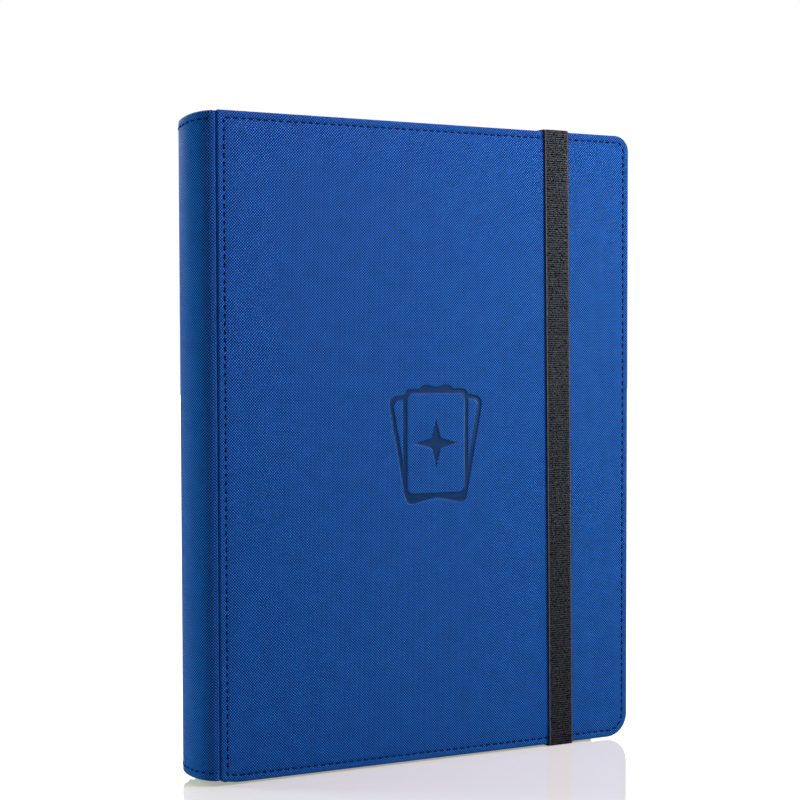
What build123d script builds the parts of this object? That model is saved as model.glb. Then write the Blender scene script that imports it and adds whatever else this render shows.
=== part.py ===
"""Trading card binder, closed and standing on the lower edges of its covers.

Two stiff covers and a rounded spine are joined by fabric hinges, and a stack of clear nine-pocket
pages is bound to the spine. An elastic strap, sewn to the back cover, passes round the front cover
and holds the binder shut. +Z is up, -Y is the front cover's outer face, -X is the spine, and the
origin is at the middle of the box, on the surface that the binder stands on.
"""

from build123d import *
import os

# Driving dimensions, in millimetres
OVERALL_HEIGHT = 340.0
OVERALL_WIDTH = 262.0
CLOSED_THICKNESS = 36.0
SPINE_BULGE = 10.0
COVER_THICKNESS = 4.0
FREE_CORNER_RADIUS = 11.0
SPINE_CORNER_RADIUS = 1.5
PAGE_COUNT = 20
PAGE_WIDTH = 235.0
PAGE_HEIGHT = 300.0
STRAP_WIDTH = 16.0
STRAP_THICKNESS = 0.9

# Layers of a cover, from the outside in
SHELL_THICKNESS = 0.9
FOAM_THICKNESS = 0.8
LINING_THICKNESS = 0.6
HALF_THICKNESS = CLOSED_THICKNESS / 2

# Hinges between the covers and the spine
HINGE_X = -OVERALL_WIDTH / 2 + SPINE_BULGE
HINGE_DEPTH = 0.8
COVER_EDGE_GAP = 0.5
SPINE_EDGE_GAP = 1.3
HINGE_STRIP_THICKNESS = 0.6

# Cover outline
STRAP_CLEARANCE = 0.1
COVER_BASE_Z = STRAP_THICKNESS + STRAP_CLEARANCE
COVER_TOP_Z = OVERALL_HEIGHT - COVER_BASE_Z
COVER_LEFT_X = HINGE_X + COVER_EDGE_GAP
COVER_RIGHT_X = OVERALL_WIDTH / 2
COVER_MIDDLE_X = (HINGE_X + COVER_RIGHT_X) / 2
MIDDLE_Z = OVERALL_HEIGHT / 2

# Seams
STITCH_INSET = 4.2
THREAD_WIDTH = 0.7
THREAD_DEPTH = 0.3

# Debossed mark, a fan of three blank cards with a four-pointed star on the middle one
MARK_DEPTH = 0.3
MARK_CARD_WIDTH = 40.0
MARK_CARD_HEIGHT = 58.0
MARK_LINE = 2.6
MARK_CORNER_RADIUS = 4.5
MARK_FAN_ANGLE = 11.0
MARK_PIVOT_DROP = 22.0
STAR_POINT_RADIUS = 13.0
STAR_WAIST_RADIUS = 4.0

# Spine
SPINE_BASE_Z = 3.5
SPINE_TOP_Z = OVERALL_HEIGHT - 4.0
SPINE_HALF_DEPTH = HALF_THICKNESS - 0.1
SPINE_BOARD_THICKNESS = 1.6
SPINE_STITCH_INSET = 4.0

# Page binding
PIVOT_X = HINGE_X + 4.0
BINDING_CLEARANCE = 0.3
BINDING_HALF_DEPTH = 13.0
PAGE_PITCH = 1.3
PAGE_BASE_Z = (OVERALL_HEIGHT - PAGE_HEIGHT) / 2
PAGE_CORNER_RADIUS = 3.0

# Pages
SHEET_THICKNESS = 0.25
POCKET_THICKNESS = 0.3
CARD_SLOT_DEPTH = 0.18
POCKET_COLUMNS = 3
POCKET_ROWS = 3
BINDING_MARGIN = 14.0
COLUMN_PITCH = 73.0
COLUMN_WIDTH = 72.0
ROW_PITCH = 99.0
WELD_WIDTH = 3.0
POCKET_MARGIN_Z = (PAGE_HEIGHT - POCKET_ROWS * ROW_PITCH) / 2

# Strap
STRAP_X = HINGE_X + 205.5
STRAP_FACE = HALF_THICKNESS + STRAP_THICKNESS + STRAP_CLEARANCE
STRAP_END_LENGTH = 26.0


def plane_at(y):
    """Return the upright plane at depth y, drawn with X to the right and Z up."""
    return Plane.XZ.offset(-y)


def depth(side, from_outside):
    """Return the y of a layer of a cover; side is -1 in front and 1 behind."""
    return side * (HALF_THICKNESS - from_outside)


def cover_outline(inset, mode=Mode.ADD):
    """Draw a cover's outline: two large corners at the free edge and two small ones at the spine."""
    left = COVER_LEFT_X + inset
    right = COVER_RIGHT_X - inset
    base = COVER_BASE_Z + inset
    top = COVER_TOP_Z - inset
    free_radius = FREE_CORNER_RADIUS - inset
    radii = [SPINE_CORNER_RADIUS, free_radius, free_radius, SPINE_CORNER_RADIUS]
    corners = [(left, base), (right, base), (right, top), (left, top)]
    with BuildLine() as outline:
        FilletPolyline(*corners, radius=radii, close=True)
    make_face(outline.edges(), mode=mode)


def seam_ring():
    """Draw the closed line of stitches that runs round a cover, inside its edge."""
    cover_outline(STITCH_INSET)
    cover_outline(STITCH_INSET + THREAD_WIDTH, mode=Mode.SUBTRACT)


def layer(side, outer, inner, inset):
    """Make one flat layer of a cover between two depths from its outer face."""
    with BuildPart() as sheet:
        with BuildSketch(plane_at(depth(side, outer))):
            cover_outline(inset)
        extrude(amount=side * (inner - outer))
    return sheet


def card_shape(turn, inset, mode):
    """Draw one card of the mark, drawn in by an inset and turned about the fan's pivot."""
    with Locations(Location((COVER_MIDDLE_X, MIDDLE_Z - MARK_PIVOT_DROP, 0), (0, 0, turn))):
        with Locations((0, MARK_PIVOT_DROP)):
            width = MARK_CARD_WIDTH - 2 * inset
            height = MARK_CARD_HEIGHT - 2 * inset
            RectangleRounded(width, height, MARK_CORNER_RADIUS - inset / 2, mode=mode)


def card_fan():
    """Draw the mark: three blank cards fanned out, the middle one in front and bearing a star."""
    for turn in (MARK_FAN_ANGLE, -MARK_FAN_ANGLE, 0.0):
        card_shape(turn, 0, Mode.ADD)
        card_shape(turn, MARK_LINE, Mode.SUBTRACT)
    points = []
    for quarter in range(4):
        points.append(Vector(0, STAR_POINT_RADIUS).rotate(Axis.Z, 90 * quarter))
        points.append(Vector(0, STAR_WAIST_RADIUS).rotate(Axis.Z, 90 * quarter + 45))
    with BuildLine() as star:
        Polyline(*[point + Vector(COVER_MIDDLE_X, MIDDLE_Z) for point in points], close=True)
    make_face(star.edges())


def save(piece, name):
    """Label a finished piece and write its STEP file."""
    piece.part.label = name
    export_step(piece.part, f"parts/{name}.step")


def build_cover(side, name):
    """Make a cover: fabric shell, foam, board, lining and the thread of its edge seam."""
    with BuildPart() as shell:
        with BuildSketch(plane_at(depth(side, 0))):
            cover_outline(0)
        extrude(amount=side * (COVER_THICKNESS - LINING_THICKNESS))
        with BuildSketch(plane_at(depth(side, SHELL_THICKNESS))):
            cover_outline(SHELL_THICKNESS)
        extrude(amount=side * COVER_THICKNESS, mode=Mode.SUBTRACT)
        with BuildSketch(plane_at(depth(side, 0))):
            seam_ring()
        extrude(amount=side * THREAD_DEPTH, mode=Mode.SUBTRACT)
        if side < 0:
            with BuildSketch(plane_at(depth(side, 0))):
                card_fan()
            extrude(amount=side * MARK_DEPTH, mode=Mode.SUBTRACT)
    save(shell, f"{name}_shell")

    foam_depth = SHELL_THICKNESS + FOAM_THICKNESS
    lining_depth = COVER_THICKNESS - LINING_THICKNESS
    save(layer(side, SHELL_THICKNESS, foam_depth, SHELL_THICKNESS), f"{name}_foam")
    save(layer(side, foam_depth, lining_depth, SHELL_THICKNESS), f"{name}_board")
    save(layer(side, lining_depth, COVER_THICKNESS, SHELL_THICKNESS), f"{name}_lining")

    with BuildPart() as stitching:
        with BuildSketch(plane_at(depth(side, 0))):
            seam_ring()
        extrude(amount=side * THREAD_DEPTH)
    save(stitching, f"{name}_stitching")


def spine_band(outer, inner):
    """Draw the spine's rounded section between two distances in from its outer surface."""
    with Locations((HINGE_X, 0)):
        Ellipse(SPINE_BULGE - outer, SPINE_HALF_DEPTH - outer)
        Ellipse(SPINE_BULGE - inner, SPINE_HALF_DEPTH - inner, mode=Mode.SUBTRACT)
    with Locations((HINGE_X - SPINE_EDGE_GAP, 0)):
        Rectangle(
            CLOSED_THICKNESS,
            CLOSED_THICKNESS,
            align=(Align.MIN, Align.CENTER),
            mode=Mode.SUBTRACT,
        )


def spine_wall(outer, inner, base, top):
    """Make a curved wall of the spine between two heights."""
    with BuildPart() as wall:
        with BuildSketch(Plane.XY.offset(base)):
            spine_band(outer, inner)
        extrude(amount=top - base)
    return wall


def build_spine():
    """Make the spine: fabric shell, curved board, lining, end seams and the page binding."""
    seam_bases = (SPINE_BASE_Z + SPINE_STITCH_INSET, SPINE_TOP_Z - SPINE_STITCH_INSET - THREAD_WIDTH)
    with BuildPart() as shell:
        with BuildSketch(Plane.XY.offset(SPINE_BASE_Z)):
            spine_band(0, SHELL_THICKNESS)
        extrude(amount=SPINE_TOP_Z - SPINE_BASE_Z)
        for base in seam_bases:
            with BuildSketch(Plane.XY.offset(base)):
                spine_band(0, THREAD_DEPTH)
            extrude(amount=THREAD_WIDTH, mode=Mode.SUBTRACT)
    save(shell, "spine_shell")

    board_depth = SHELL_THICKNESS + SPINE_BOARD_THICKNESS
    lining_depth = board_depth + LINING_THICKNESS
    save(spine_wall(SHELL_THICKNESS, board_depth, SPINE_BASE_Z, SPINE_TOP_Z), "spine_board")
    save(spine_wall(board_depth, lining_depth, SPINE_BASE_Z, SPINE_TOP_Z), "spine_lining")

    with BuildPart() as stitching:
        for base in seam_bases:
            with BuildSketch(Plane.XY.offset(base)):
                spine_band(0, THREAD_DEPTH)
            extrude(amount=THREAD_WIDTH)
    save(stitching, "spine_stitching")

    face_x = PIVOT_X - BINDING_CLEARANCE
    with BuildPart() as binding:
        with BuildSketch(Plane.XY.offset(PAGE_BASE_Z)):
            with Locations((HINGE_X, 0)):
                Ellipse(SPINE_BULGE - lining_depth, BINDING_HALF_DEPTH)
                Rectangle(
                    CLOSED_THICKNESS,
                    CLOSED_THICKNESS,
                    align=(Align.MIN, Align.CENTER),
                    mode=Mode.SUBTRACT,
                )
                Rectangle(face_x - HINGE_X, 2 * BINDING_HALF_DEPTH, align=(Align.MIN, Align.CENTER))
        extrude(amount=PAGE_HEIGHT)
    save(binding, "page_binding")


def build_hinge_strip(side, name):
    """Make the fabric that joins a cover's edge to the spine, at the bottom of the groove."""
    strip_y = side * (HALF_THICKNESS - 2 * HINGE_DEPTH)
    with BuildPart() as strip:
        with BuildSketch(Plane.XY.offset(SPINE_BASE_Z)):
            with Locations((HINGE_X - SPINE_EDGE_GAP, strip_y)):
                Rectangle(
                    SPINE_EDGE_GAP + COVER_EDGE_GAP,
                    HINGE_STRIP_THICKNESS,
                    align=(Align.MIN, Align.CENTER),
                )
        extrude(amount=SPINE_TOP_Z - SPINE_BASE_Z)
    save(strip, name)


def build_strap():
    """Make the elastic strap, from one fold behind the back cover to the other."""
    inner_face = STRAP_FACE - STRAP_THICKNESS
    with BuildPart() as strap:
        with BuildSketch(Plane.YZ.offset(STRAP_X - STRAP_WIDTH / 2)):
            with BuildLine():
                Polyline(
                    (HALF_THICKNESS, 0),
                    (-STRAP_FACE, 0),
                    (-STRAP_FACE, OVERALL_HEIGHT),
                    (HALF_THICKNESS, OVERALL_HEIGHT),
                    (HALF_THICKNESS, OVERALL_HEIGHT - STRAP_THICKNESS),
                    (-inner_face, OVERALL_HEIGHT - STRAP_THICKNESS),
                    (-inner_face, STRAP_THICKNESS),
                    (HALF_THICKNESS, STRAP_THICKNESS),
                    close=True,
                )
            make_face()
        extrude(amount=STRAP_WIDTH)
    save(strap, "elastic_strap")


def build_strap_end(base, name):
    """Make one sewn end of the strap, flat on the back cover's outer face."""
    with BuildPart() as end:
        with BuildSketch(plane_at(HALF_THICKNESS)):
            with Locations((STRAP_X, base)):
                Rectangle(STRAP_WIDTH, STRAP_END_LENGTH, align=(Align.CENTER, Align.MIN))
        extrude(amount=HALF_THICKNESS - STRAP_FACE)
    save(end, name)


def build_page_sheet(y, name):
    """Make one page's opaque middle sheet, from its bound edge to its free edge."""
    left = PIVOT_X + BINDING_CLEARANCE
    right = left + PAGE_WIDTH
    top = PAGE_BASE_Z + PAGE_HEIGHT
    corners = [(left, PAGE_BASE_Z), (right, PAGE_BASE_Z), (right, top), (left, top)]
    radii = [0, PAGE_CORNER_RADIUS, PAGE_CORNER_RADIUS, 0]
    with BuildPart() as sheet:
        with BuildSketch(plane_at(y + SHEET_THICKNESS / 2)):
            with BuildLine():
                FilletPolyline(*corners, radius=radii, close=True)
            make_face()
        extrude(amount=SHEET_THICKNESS)
    save(sheet, name)


def build_page_pockets(y, name):
    """Make one page's clear pockets: three columns of three on each side, open towards the spine."""
    first_x = PIVOT_X + BINDING_MARGIN
    middle_x = first_x + (POCKET_COLUMNS * COLUMN_PITCH) / 2
    slot_width = COLUMN_WIDTH - WELD_WIDTH
    slot_shift = -WELD_WIDTH / 2
    with BuildPart() as pockets:
        for side in (-1, 1):
            sheet_face = y + side * SHEET_THICKNESS / 2
            with BuildSketch(plane_at(sheet_face)):
                with Locations((middle_x, MIDDLE_Z)):
                    with GridLocations(COLUMN_PITCH, 1, POCKET_COLUMNS, 1):
                        Rectangle(COLUMN_WIDTH, POCKET_ROWS * ROW_PITCH)
            extrude(amount=-side * POCKET_THICKNESS)
            with BuildSketch(plane_at(sheet_face)):
                with Locations((middle_x + slot_shift, MIDDLE_Z)):
                    with GridLocations(COLUMN_PITCH, ROW_PITCH, POCKET_COLUMNS, POCKET_ROWS):
                        Rectangle(slot_width, ROW_PITCH - WELD_WIDTH)
            extrude(amount=-side * CARD_SLOT_DEPTH, mode=Mode.SUBTRACT)
    save(pockets, name)


os.makedirs("parts", exist_ok=True)
build_cover(-1, "front_cover")
build_cover(1, "back_cover")
build_spine()
build_hinge_strip(-1, "front_hinge_strip")
build_hinge_strip(1, "back_hinge_strip")
build_strap()
build_strap_end(OVERALL_HEIGHT - STRAP_END_LENGTH, "strap_end_top")
build_strap_end(0, "strap_end_bottom")
for number in range(1, PAGE_COUNT + 1):
    page_y = (number - (PAGE_COUNT + 1) / 2) * PAGE_PITCH
    build_page_sheet(page_y, f"page_{number:02d}_sheet")
    build_page_pockets(page_y, f"page_{number:02d}_pockets")
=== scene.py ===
"""Trading card binder, closed and standing on the lower edges of its covers.

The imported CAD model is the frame: two stiff covers hinged to a rounded spine, twenty clear pocket
pages bound to the spine, and an elastic strap round the front cover. This script gives every piece its
visible shape and finish. Sizes are in millimetres and meshes in metres. +Z is up, -Y is the front
cover's outer face, -X is the spine, and the origin is under the middle of the closed binder.
"""

import logging
import math
from dataclasses import dataclass, field
from enum import Enum

import bmesh
import bpy
import numpy as np
from mathutils import Matrix, Vector


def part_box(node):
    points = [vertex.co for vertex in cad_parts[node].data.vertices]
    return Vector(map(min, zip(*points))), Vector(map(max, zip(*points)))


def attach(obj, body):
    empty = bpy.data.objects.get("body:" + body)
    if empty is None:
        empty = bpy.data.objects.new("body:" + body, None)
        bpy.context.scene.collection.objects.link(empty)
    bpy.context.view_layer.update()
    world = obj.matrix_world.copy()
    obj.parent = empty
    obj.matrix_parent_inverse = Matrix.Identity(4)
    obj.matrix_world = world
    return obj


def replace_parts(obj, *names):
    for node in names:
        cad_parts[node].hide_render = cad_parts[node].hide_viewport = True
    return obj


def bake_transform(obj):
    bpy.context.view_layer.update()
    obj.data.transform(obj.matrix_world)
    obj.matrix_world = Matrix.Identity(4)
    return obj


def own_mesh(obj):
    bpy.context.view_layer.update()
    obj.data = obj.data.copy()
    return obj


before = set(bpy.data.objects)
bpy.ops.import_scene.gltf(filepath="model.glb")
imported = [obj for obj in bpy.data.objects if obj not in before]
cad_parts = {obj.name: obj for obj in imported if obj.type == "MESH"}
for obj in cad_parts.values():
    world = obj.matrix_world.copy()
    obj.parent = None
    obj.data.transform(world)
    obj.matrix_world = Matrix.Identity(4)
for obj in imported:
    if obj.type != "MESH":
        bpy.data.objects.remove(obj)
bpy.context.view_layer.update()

log = logging.getLogger("binder")

MM = 0.001
PAGE_COUNT = 20


class Side(Enum):
    """The two covers, by the sign of the y of their outer faces."""

    FRONT = -1
    BACK = 1


class Slot(Enum):
    """The record's material slots that the pieces take their finishes from."""

    COVER = "cover_fabric"
    THREAD = "seam_thread"
    LINING = "lining_fabric"
    BOARD = "cover_board"
    BINDING = "binding_plastic"
    SHEET = "page_sheet"
    FILM = "pocket_film"
    ELASTIC = "strap_elastic"


def linear(code: str) -> tuple[float, float, float, float]:
    """Turn an sRGB hex colour into linear light.

    Args:
        code: six hex digits after a #.

    Returns:
        Linear red, green and blue, and a full alpha.
    """
    values = [int(code[start : start + 2], 16) / 255 for start in (1, 3, 5)]
    red, green, blue = [v / 12.92 if v <= 0.04045 else ((v + 0.055) / 1.055) ** 2.4 for v in values]
    return red, green, blue, 1.0


def add_node(
    tree: bpy.types.NodeTree,
    kind: str,
    sockets: dict[str | int, object] | None = None,
    **settings: object,
) -> bpy.types.Node:
    """Add a node with its settings, socket values and links.

    Args:
        tree: the node tree that it goes in.
        kind: the node's type, without its ShaderNode prefix.
        sockets: input names or numbers, each with a value or the output that feeds it.
        settings: the node's own properties.

    Returns:
        The new node.
    """
    node = tree.nodes.new("ShaderNode" + kind)
    for name, value in settings.items():
        setattr(node, name, value)
    for key, value in (sockets or {}).items():
        if isinstance(value, bpy.types.NodeSocket):
            tree.links.new(value, node.inputs[key])
        else:
            node.inputs[key].default_value = value
    return node


def smooth(low: float, high: float, value: np.ndarray) -> np.ndarray:
    """Ease from 0 at low to 1 at high, as 3t^2 - 2t^3 of the clamped share t."""
    share = np.clip((value - low) / (high - low), 0.0, 1.0)
    return share * share * (3 - 2 * share)


def graded(*stops: tuple[float, float]) -> np.ndarray:
    """Space grid lines between stops, each stretch with its own largest step.

    Args:
        stops: (place, largest step up to the next stop); the last one's step isn't used.

    Returns:
        The lines' places, in order, each stop among them once.
    """
    lines = [np.array([stops[0][0]])]
    for (start, step), (end, _) in zip(stops, stops[1:]):
        count = max(1, math.ceil((end - start) / step - 1e-9))
        lines.append(np.linspace(start, end, count + 1)[1:])
    return np.concatenate(lines)


class Skin:
    """Gathers grids of points and flat ends, in millimetres, and makes one closed mesh of them."""

    def __init__(self) -> None:
        """Start with nothing gathered."""
        self.points: list[np.ndarray] = []
        self.places: list[np.ndarray] = []
        self.pressed: list[np.ndarray] = []
        self.faces: list[list[int]] = []
        self.count = 0

    def add_points(self, points: np.ndarray, places: np.ndarray, pressed: np.ndarray | float = 0.0) -> int:
        """Keep a block of points.

        Args:
            points: n by 3, in millimetres.
            places: n by 2, the cloth's own flat coordinates in millimetres.
            pressed: how far each point is pressed by the mark, from 0 to 1; on the strap, the share of its
                painted selvedge highlight.

        Returns:
            The number of the block's first point.
        """
        start = self.count
        self.points.append(points)
        self.places.append(places)
        self.pressed.append(np.broadcast_to(np.asarray(pressed, float), len(points)))
        self.count += len(points)
        return start

    def add_grid(
        self,
        points: np.ndarray,
        places: np.ndarray | None = None,
        wrap: bool = False,
        pressed: np.ndarray | float = 0.0,
    ) -> None:
        """Add a grid of quads, where each face joins point (r, c) to its neighbours in r and c.

        Args:
            points: rows by columns by 3, in millimetres.
            places: rows by columns by 2, flat coordinates; x and z when left out.
            wrap: True if the last column meets the first.
            pressed: rows by columns, or one value.
        """
        rows, columns = points.shape[:2]
        places = points[..., (0, 2)] if places is None else places
        pressed = np.broadcast_to(np.asarray(pressed, float), (rows, columns)).reshape(-1)
        start = self.add_points(points.reshape(-1, 3), places.reshape(-1, 2), pressed)
        last = columns if wrap else columns - 1
        row = np.arange(rows - 1)[:, None] * columns
        here = np.arange(last)[None, :]
        there = (here + 1) % columns
        quads = np.stack([row + here, row + there, row + columns + there, row + columns + here], axis=-1)
        self.faces.extend((quads.reshape(-1, 4) + start).tolist())

    def add_end(self, points: np.ndarray) -> None:
        """Close an open rim with one flat face through its points."""
        start = self.add_points(points, points[:, (0, 2)])
        self.faces.append(list(range(start, start + len(points))))

    def add_tube(self, points: np.ndarray, places: np.ndarray | None = None) -> None:
        """Add a grid whose columns close on themselves, with a flat end on its first and last rows."""
        self.add_grid(points, places, wrap=True)
        self.add_end(points[0])
        self.add_end(points[-1])

    def finish(self, name: str, material: bpy.types.Material, crease: float = 50.0) -> bpy.types.Object:
        """Make the object: points in the same place become one, and the faces turn outwards.

        Args:
            name: the piece's name.
            material: its finish.
            crease: the angle in degrees above which an edge stays sharp.

        Returns:
            The object, at the origin, linked to the scene.
        """
        mesh = bpy.data.meshes.new(name)
        mesh.from_pydata(np.concatenate(self.points) * MM, [], self.faces)
        corners = np.zeros(len(mesh.loops), int)
        mesh.loops.foreach_get("vertex_index", corners)
        flat = np.concatenate(self.places) * MM
        mesh.uv_layers.new(name="UVMap").data.foreach_set("uv", flat[corners].astype(np.float32).ravel())
        pressed = np.concatenate(self.pressed).astype(np.float32)
        if pressed.any():
            mesh.attributes.new("pressed", "FLOAT", "POINT").data.foreach_set("value", pressed)
        shape = bmesh.new()
        shape.from_mesh(mesh)
        bmesh.ops.remove_doubles(shape, verts=shape.verts, dist=1e-6)
        bmesh.ops.dissolve_degenerate(shape, edges=shape.edges, dist=1e-7)
        bmesh.ops.recalc_face_normals(shape, faces=shape.faces)
        shape.to_mesh(mesh)
        shape.free()
        mesh.polygons.foreach_set("use_smooth", np.ones(len(mesh.polygons), bool))
        mesh.set_sharp_from_angle(angle=math.radians(crease))
        mesh.materials.append(material)
        piece = bpy.data.objects.new(name, mesh)
        bpy.context.scene.collection.objects.link(piece)
        return piece


@dataclass(frozen=True)
class Finish:
    """What every finish has: a name, a main colour and how it scatters light."""

    name: str
    colour: str
    roughness: float
    specular: float = 0.5
    sheen: float = 0.0
    sheen_roughness: float = 0.5
    gloss_tint: str = "#ffffff"

    def start(self) -> tuple[bpy.types.NodeTree, bpy.types.Node, bpy.types.Material]:
        """Make the material with its constant values on the shader's sockets.

        Returns:
            Its node tree, its shader node and the material.
        """
        material = bpy.data.materials.new(self.name)
        material.use_nodes = True
        tree = material.node_tree
        tree.nodes.clear()
        values = {
            "Base Color": linear(self.colour),
            "Roughness": self.roughness,
            "Specular IOR Level": self.specular,
            "Specular Tint": linear(self.gloss_tint),
            "Sheen Weight": self.sheen,
            "Sheen Roughness": self.sheen_roughness,
        }
        shader = add_node(tree, "BsdfPrincipled", values)
        add_node(tree, "OutputMaterial", {"Surface": shader.outputs[0]})
        material.diffuse_color = linear(self.colour)
        return tree, shader, material


@dataclass(frozen=True)
class WovenPolyester(Finish):
    """Dyed plain-weave polyester: threads pass over and under in a checker of small crowns painted bright,
    with painted shade in the valleys between them.
    """

    # A painted shade for the valleys between the threads.
    shaded_valley: str = "#072a78"
    pressed_colour: str = "#05294c"
    # Real threads are taken to be 0.35 mm apart, too fine to show, so the weave is drawn twice as coarse.
    thread_pitch: float = 0.74
    crown_height: float = 0.16
    mottle_size: float = 9.0
    sway: float = 1.1
    warp_lead: float = 0.6
    pressed_gloss: float = 0.2
    pressed_relief: float = 0.25

    def make(self) -> bpy.types.Material:
        """Make the weave: sin(pi u) sin(pi v), in thread pitches, is above 0 where the warp is on top.

        Returns:
            The material.
        """
        tree, shader, material = self.start()
        flat = add_node(tree, "UVMap", uv_map="UVMap").outputs[0]
        turns = math.pi / (self.thread_pitch * MM)
        threads = add_node(tree, "Mapping", {"Vector": flat, "Scale": (turns, turns, 1.0)}).outputs[0]
        # Threads wander a little from straight, which keeps the checker from looking printed.
        drift = add_node(
            tree, "TexNoise", {"Vector": flat, "Scale": 1 / (self.mottle_size * MM), "Detail": 2.0}
        )
        reach = (self.sway, self.sway, 0.0)
        sway = add_node(tree, "VectorMath", {0: drift.outputs["Color"], 1: reach}, operation="MULTIPLY")
        threads = add_node(tree, "VectorMath", {0: threads, 1: sway.outputs[0]}, operation="ADD").outputs[0]
        split = add_node(tree, "SeparateXYZ", {0: threads})
        warp = add_node(tree, "Math", {0: split.outputs[0]}, operation="SINE").outputs[0]
        weft = add_node(tree, "Math", {0: split.outputs[1]}, operation="SINE").outputs[0]
        over = add_node(tree, "Math", {0: warp, 1: weft}, operation="MULTIPLY").outputs[0]
        crown = add_node(tree, "Math", {0: over}, operation="ABSOLUTE").outputs[0]
        crown = add_node(tree, "Math", {0: crown, 1: 0.5}, operation="POWER").outputs[0]
        # Warp crowns stand higher and catch more light than weft crowns.
        lead = add_node(
            tree,
            "MapRange",
            {"Value": over, "From Min": -0.1, "From Max": 0.4},
            interpolation_type="SMOOTHSTEP",
        ).outputs[0]
        gloss = add_node(tree, "MapRange", {"Value": lead, "To Max": 2.0 * self.specular}).outputs[0]
        tree.links.new(gloss, shader.inputs["Specular IOR Level"])
        pressed = add_node(tree, "Attribute", attribute_name="pressed").outputs["Fac"]
        # The colour is painted light and shade: the valleys between threads take a painted shade, the crowns
        # the lit colour.
        colour = add_node(
            tree, "Mix", {"Factor": lead, 6: linear(self.shaded_valley), 7: linear(self.colour)}, data_type="RGBA"
        ).outputs[2]
        patch = add_node(
            tree,
            "MapRange",
            {"Value": drift.outputs["Fac"], "From Min": 0.3, "From Max": 0.7, "To Min": 0.9, "To Max": 1.08},
        ).outputs[0]
        colour = add_node(
            tree, "Mix", {"Factor": 1.0, 6: colour, 7: patch}, data_type="RGBA", blend_type="MULTIPLY"
        ).outputs[2]
        colour = add_node(
            tree, "Mix", {"Factor": pressed, 6: colour, 7: linear(self.pressed_colour)}, data_type="RGBA"
        ).outputs[2]
        tree.links.new(colour, shader.inputs["Base Color"])
        rough = add_node(
            tree,
            "MapRange",
            {"Value": pressed, "To Min": self.roughness, "To Max": self.roughness - self.pressed_gloss},
        ).outputs[0]
        tree.links.new(rough, shader.inputs["Roughness"])
        height = add_node(tree, "Math", {0: lead, 1: self.warp_lead}, operation="MULTIPLY").outputs[0]
        height = add_node(tree, "Math", {0: height, 1: crown}, operation="ADD").outputs[0]
        relief = add_node(
            tree, "MapRange", {"Value": pressed, "To Min": 1.0, "To Max": self.pressed_relief}
        ).outputs[0]
        bump = add_node(
            tree, "Bump", {"Strength": relief, "Distance": self.crown_height * MM, "Height": height}
        ).outputs[0]
        tree.links.new(bump, shader.inputs["Normal"])
        return material


@dataclass(frozen=True)
class Fibrous(Finish):
    """Cloth, thread or board whose fibres lie one way more than the other."""

    shade: str = "#000000"
    fibre_width: float = 0.3
    fibre_length: float = 3.0
    relief: float = 0.05

    def make(self) -> bpy.types.Material:
        """Make the fibres: noise squeezed across them and stretched along them, in object millimetres.

        Returns:
            The material.
        """
        tree, shader, material = self.start()
        place = add_node(tree, "TexCoord").outputs["Object"]
        across, along = 1 / (self.fibre_width * MM), 1 / (self.fibre_length * MM)
        stretch = add_node(tree, "Mapping", {"Vector": place, "Scale": (across, across, along)}).outputs[0]
        fibres = add_node(tree, "TexNoise", {"Vector": stretch, "Scale": 1.0, "Detail": 4.0}).outputs["Fac"]
        share = add_node(tree, "MapRange", {"Value": fibres, "From Min": 0.3, "From Max": 0.7}).outputs[0]
        colour = add_node(
            tree, "Mix", {"Factor": share, 6: linear(self.shade), 7: linear(self.colour)}, data_type="RGBA"
        ).outputs[2]
        tree.links.new(colour, shader.inputs["Base Color"])
        bump = add_node(tree, "Bump", {"Distance": self.relief * MM, "Height": fibres}).outputs[0]
        tree.links.new(bump, shader.inputs["Normal"])
        return material


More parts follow.
